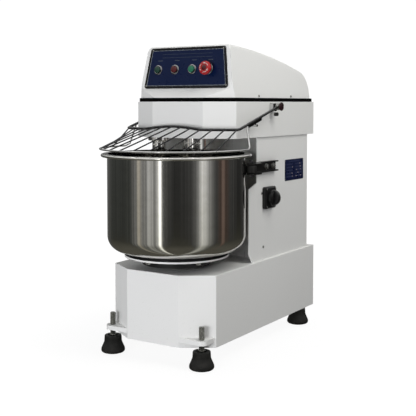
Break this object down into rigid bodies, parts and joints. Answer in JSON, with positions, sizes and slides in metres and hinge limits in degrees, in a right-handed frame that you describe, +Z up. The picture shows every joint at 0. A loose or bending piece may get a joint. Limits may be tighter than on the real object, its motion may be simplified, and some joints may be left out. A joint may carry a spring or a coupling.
{
  "type": "spiral dough mixer",
  "caption": "Floor-standing spiral dough mixer with a belt-driven rotating steel bowl, spiral hook, breaker bar, hinged wire guard, sloping control panel and levelling feet.",
  "frame": {"origin": "middle of the footprint, on the floor under the machine", "axes": "+Z up, +Y to the back, +X to the right seen from the front"},
  "size_m": [0.445, 0.7699, 0.891],
  "materials": {
    "white_paint": "powder coat, light orange peel",
    "cover_white": "moulded, satin gloss",
    "polished_stainless": "mirror polished with faint circular lines",
    "splash_stainless": "brushed",
    "bright_chrome": "bright chrome",
    "guard_wire": "chromed wire",
    "zinc_steel": "zinc plated",
    "shaft_steel": "ground",
    "bearing_steel": "ground",
    "cast_iron_grey": "machined and oiled",
    "motor_paint": "enamel",
    "laminations": "stacked sheet",
    "foot_rubber": "matt",
    "gasket_rubber": "matt",
    "belt_rubber": "matt",
    "black_paint": "semi-gloss",
    "black_plastic": "fine texture",
    "roller_nylon": "turned",
    "panel_navy": "printed film",
    "plate_navy": "printed plate",
    "cap_green_dark": "moulded",
    "cap_red_dark": "moulded",
    "cap_green_light": "translucent lens",
    "estop_red": "moulded",
    "knob_red": "moulded",
    "box_grey": "moulded"
  },
  "bodies": {
    "frame": {"base_floor_plate": "white_paint", "base_shell": "white_paint", "bowl_bearing_housing": "cast_iron_grey", "bracket_bolts": "zinc_steel", "breaker_bar": "bright_chrome", "button_bezels": "bright_chrome", "cable_gland": "black_plastic", "casing_screws": "zinc_steel", "column_shell": "white_paint", "contact_blocks": "box_grey", "contactor_box": "box_grey", "control_panel_frame": "black_plastic", "control_panel_plate": "panel_navy", "drive_belts": "belt_rubber", "flange_bearing_units": "cast_iron_grey", "foot_brackets": "white_paint", "foot_studs": "zinc_steel", "guard_knobs": "knob_red", "guard_pivots": "zinc_steel", "head_gasket": "gasket_rubber", "head_shell": "white_paint", "hook_bearing_housing": "cast_iron_grey", "main_switch_body": "black_plastic", "motor_housing": "motor_paint", "motor_stator": "laminations", "rating_plate": "plate_navy", "rear_cover": "white_paint", "roller_brackets": "black_paint", "roller_pins": "zinc_steel", "rubber_feet": "foot_rubber", "shaft_bearings": "bearing_steel", "splash_panel": "splash_stainless", "top_cover": "cover_white"},
    "bowl": {"bowl": "polished_stainless", "bowl_rim": "polished_stainless", "turntable": "cast_iron_grey", "turntable_bolts": "zinc_steel", "bowl_shaft": "shaft_steel", "bowl_pulley": "cast_iron_grey"},
    "hook": {"spiral_hook": "bright_chrome", "hook_shaft": "shaft_steel", "hook_pulley": "cast_iron_grey"},
    "motor_rotor": {"motor_rotor": "shaft_steel", "motor_pulley": "cast_iron_grey"},
    "layshaft": {"layshaft": "shaft_steel", "layshaft_pulleys": "cast_iron_grey"},
    "jackshaft": {"jackshaft": "shaft_steel", "jackshaft_pulleys": "cast_iron_grey"},
    "guide_roller_left": {"guide_roller_left": "roller_nylon"},
    "guide_roller_right": {"guide_roller_right": "roller_nylon"},
    "guard": {"guard_arm_left": "guard_wire", "guard_arm_right": "guard_wire", "guard_front_bar": "guard_wire", "guard_ring": "guard_wire", "guard_wires": "guard_wire"},
    "on_button": {"on_button": "cap_green_dark"},
    "off_button": {"off_button": "cap_red_dark"},
    "start_button": {"start_button": "cap_green_light"},
    "estop_button": {"estop_button": "estop_red"},
    "main_switch_knob": {"main_switch_knob": "black_plastic"}
  },
  "joints": [
    {"name": "bowl_spin", "type": "hinge", "parent": "frame", "child": "bowl", "pos_m": [0, -0.1625, 0.3], "axis": [0, 0, 1], "continuous": true},
    {"name": "hook_spin", "type": "hinge", "parent": "frame", "child": "hook", "pos_m": [0, -0.062, 0.6], "axis": [0, 0, 1], "continuous": true},
    {"name": "motor_spin", "type": "hinge", "parent": "frame", "child": "motor_rotor", "pos_m": [0.062, 0.262, 0.6], "axis": [0, 0, 1], "continuous": true},
    {"name": "layshaft_spin", "type": "hinge", "parent": "frame", "child": "layshaft", "pos_m": [-0.06, 0.185, 0.45], "axis": [0, 0, 1], "continuous": true},
    {"name": "jackshaft_spin", "type": "hinge", "parent": "frame", "child": "jackshaft", "pos_m": [0.06, 0.09, 0.15], "axis": [0, 0, 1], "continuous": true},
    {"name": "left_roller_spin", "type": "hinge", "parent": "frame", "child": "guide_roller_left", "pos_m": [-0.19, -0.061, 0.534], "axis": [0, 0, 1], "continuous": true},
    {"name": "right_roller_spin", "type": "hinge", "parent": "frame", "child": "guide_roller_right", "pos_m": [0.19, -0.061, 0.534], "axis": [0, 0, 1], "continuous": true},
    {"name": "guard_hinge", "type": "hinge", "parent": "frame", "child": "guard", "pos_m": [0, 0.0934, 0.7134], "axis": [-1, 0, 0], "range_deg": [0, 75]},
    {"name": "on_press", "type": "slide", "parent": "frame", "child": "on_button", "axis": [0, 0.9912, -0.1322], "range_m": [0, 0.003], "stiffness_N_per_m": 300, "springref_m": -0.002},
    {"name": "off_press", "type": "slide", "parent": "frame", "child": "off_button", "axis": [0, 0.9912, -0.1322], "range_m": [0, 0.003], "stiffness_N_per_m": 300, "springref_m": -0.002},
    {"name": "start_press", "type": "slide", "parent": "frame", "child": "start_button", "axis": [0, 0.9912, -0.1322], "range_m": [0, 0.003], "stiffness_N_per_m": 300, "springref_m": -0.002},
    {"name": "estop_press", "type": "slide", "parent": "frame", "child": "estop_button", "axis": [0, 0.9912, -0.1322], "range_m": [0, 0.005], "stiffness_N_per_m": 400, "springref_m": -0.002},
    {"name": "main_switch_turn", "type": "hinge", "parent": "frame", "child": "main_switch_knob", "pos_m": [0.19, 0.0795, 0.439], "axis": [1, 0, 0], "range_deg": [0, 90]}
  ],
  "couplings": [
    {"joint": "jackshaft_spin", "follows": "bowl_spin", "ratio": 4},
    {"joint": "layshaft_spin", "follows": "bowl_spin", "ratio": 13.333},
    {"joint": "hook_spin", "follows": "bowl_spin", "ratio": 5.9259},
    {"joint": "motor_spin", "follows": "bowl_spin", "ratio": 41.667},
    {"joint": "left_roller_spin", "follows": "bowl_spin", "ratio": -13.333},
    {"joint": "right_roller_spin", "follows": "bowl_spin", "ratio": -13.333}
  ]
}
